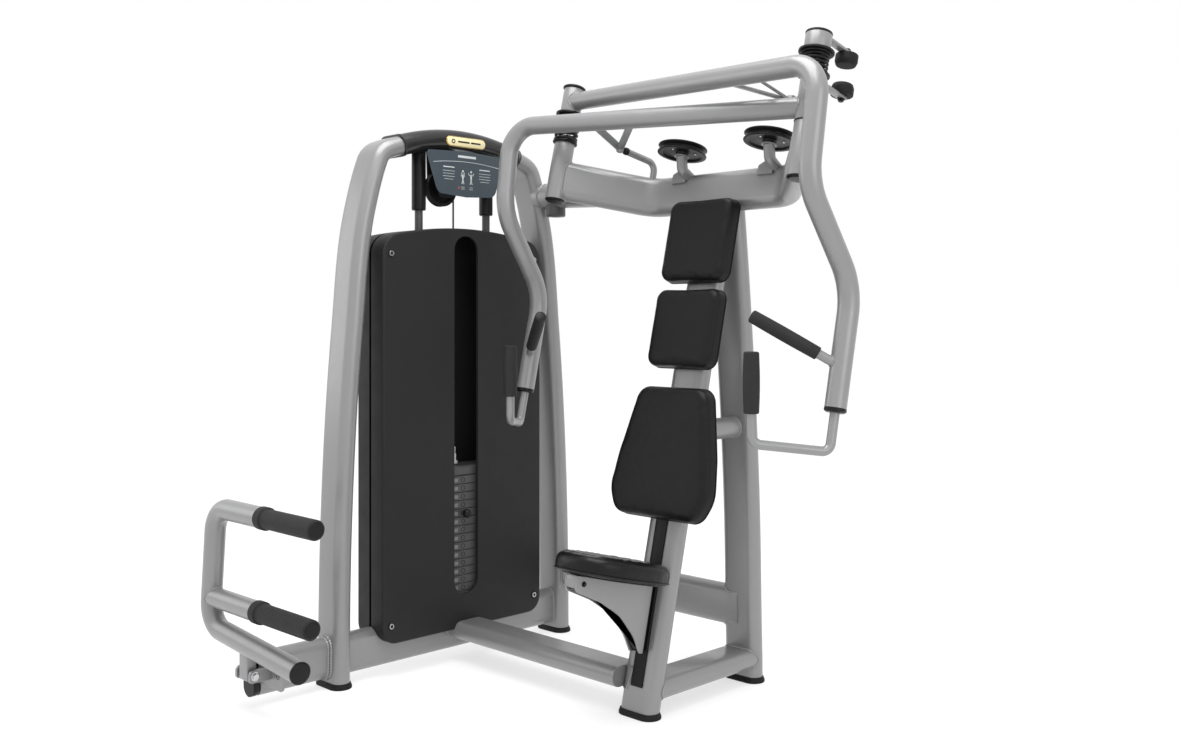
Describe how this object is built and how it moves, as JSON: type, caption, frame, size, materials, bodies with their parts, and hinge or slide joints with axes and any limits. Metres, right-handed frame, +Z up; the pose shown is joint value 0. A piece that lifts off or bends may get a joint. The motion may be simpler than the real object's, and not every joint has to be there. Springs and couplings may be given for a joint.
{
  "type": "chest press machine",
  "caption": "Seated chest press gym machine: weight tower, leaning back pads, sliding seat, crossed overhead press arms with grips and a foot pedal.",
  "frame": {"origin": "middle of the underside of the seat column's rubber foot, on the floor", "axes": "+Z up; the user sits facing -Y, so +Y is the back of the machine; +X is the user's left, and the weight tower stands on the user's right at -X"},
  "size_m": [1.5698, 1.2685, 1.8066],
  "materials": {
    "silver_paint": "satin silver-grey powder coat with a light metallic flake",
    "graphite_sheet": "fine-textured dark graphite powder coat",
    "black_rubber": "matt moulded rubber",
    "black_plastic": "satin moulded plastic",
    "black_vinyl": "stitched black upholstery vinyl",
    "bright_steel": "polished steel rod",
    "black_iron": "black painted cast iron",
    "blue_grey_label": "printed polyester panel"
  },
  "bodies": {
    "frame": {"tower_arch": "silver_paint", "tower_base_tube": "silver_paint", "outrigger_tube": "silver_paint", "floor_link_tube": "silver_paint", "rear_floor_tube": "silver_paint", "seat_column": "silver_paint", "rear_post": "silver_paint", "lower_tie": "silver_paint", "pivot_beam": "silver_paint", "upper_tie": "silver_paint", "back_brace": "silver_paint", "tower_front_foot": "black_rubber", "tower_rear_foot": "black_rubber", "column_foot": "black_rubber", "rear_post_foot": "black_rubber", "front_shroud": "graphite_sheet", "rear_shroud": "graphite_sheet", "top_cover": "black_plastic", "placard": "blue_grey_label", "badge": "blue_grey_label", "resting_plates": "black_iron", "front_guide_rod": "bright_steel", "rear_guide_rod": "bright_steel", "pulley_hanger": "graphite_sheet", "stack_cable": "black_iron", "right_pivot_post": "silver_paint", "left_pivot_post": "silver_paint", "right_spring": "black_plastic", "left_spring": "black_plastic", "upper_stop": "black_rubber", "cable_boss": "black_iron", "head_pad": "black_vinyl", "upper_back_pad": "black_vinyl", "lumbar_pad": "black_vinyl", "seat_track": "black_plastic", "pedal_bracket": "silver_paint"},
    "left_arm": {"left_arm_tube": "silver_paint", "left_arm_sleeve": "silver_paint", "left_u_handle": "silver_paint", "left_upright_grip": "black_rubber", "left_angled_grip": "black_rubber"},
    "right_arm": {"right_arm_tube": "silver_paint", "right_arm_sleeve": "silver_paint", "right_u_handle": "silver_paint", "right_upright_grip": "black_rubber", "right_angled_grip": "black_rubber", "lower_stop": "black_rubber"},
    "weight_stack": {"selected_plates": "black_iron", "top_plate": "black_iron", "selector_stem": "bright_steel"},
    "pin": {"selector_pin": "black_plastic"},
    "seat": {"seat_pad": "black_vinyl", "seat_bracket": "silver_paint", "seat_carriage": "black_plastic"},
    "pedal": {"pedal_lever": "silver_paint", "pedal_upper_grip": "black_rubber", "pedal_lower_grip": "black_rubber"},
    "tower_pulley": {"top_pulley": "black_plastic"},
    "right_cable_pulley": {"right_beam_pulley": "black_plastic"},
    "left_cable_pulley": {"left_beam_pulley": "black_plastic"}
  },
  "joints": [
    {"name": "left_arm_press", "type": "hinge", "parent": "frame", "child": "left_arm", "pos_m": [-0.443, 0.17595, 1.73128], "axis": [0, -0.2334, -0.9724], "range_deg": [0, 38]},
    {"name": "right_arm_press", "type": "hinge", "parent": "frame", "child": "right_arm", "pos_m": [0.443, 0.14444, 1.6], "axis": [0, 0.2334, 0.9724], "range_deg": [0, 39]},
    {"name": "stack_lift", "type": "slide", "parent": "frame", "child": "weight_stack", "axis": [0, 0, 1], "range_m": [0, 0.335], "deforming": ["stack_cable"]},
    {"name": "pin_pull", "type": "slide", "parent": "weight_stack", "child": "pin", "axis": [1, 0, 0], "range_m": [0, 0.045]},
    {"name": "seat_height", "type": "slide", "parent": "frame", "child": "seat", "axis": [0, 0.2334, 0.9724], "range_m": [-0.06, 0.09]},
    {"name": "pedal_push", "type": "hinge", "parent": "frame", "child": "pedal", "pos_m": [-0.75, -0.745, 0.112], "axis": [1, 0, 0], "range_deg": [0, 25], "stiffness_Nm_per_rad": 160, "springref_deg": -2.86},
    {"name": "tower_pulley_turn", "type": "hinge", "parent": "frame", "child": "tower_pulley", "pos_m": [-0.805, -0.05, 1.477], "axis": [1, 0, 0], "range_deg": [0, 382.2]},
    {"name": "right_pulley_turn", "type": "hinge", "parent": "frame", "child": "right_cable_pulley", "pos_m": [-0.11, 0.30465, 1.56053], "axis": [0, 0.2334, 0.9724], "range_deg": [0, 290.5]},
    {"name": "left_pulley_turn", "type": "hinge", "parent": "frame", "child": "left_cable_pulley", "pos_m": [0.205, 0.30535, 1.56344], "axis": [0, 0.2334, 0.9724], "range_deg": [0, 290.5]}
  ],
  "couplings": [
    {"joint": "right_arm_press", "follows": "left_arm_press", "ratio": 1},
    {"joint": "stack_lift", "follows": "left_arm_press", "m_per_rad": 0.4976},
    {"joint": "tower_pulley_turn", "follows": "left_arm_press", "ratio": 9.952},
    {"joint": "right_pulley_turn", "follows": "left_arm_press", "ratio": 7.5394},
    {"joint": "left_pulley_turn", "follows": "left_arm_press", "ratio": 7.5394}
  ]
}
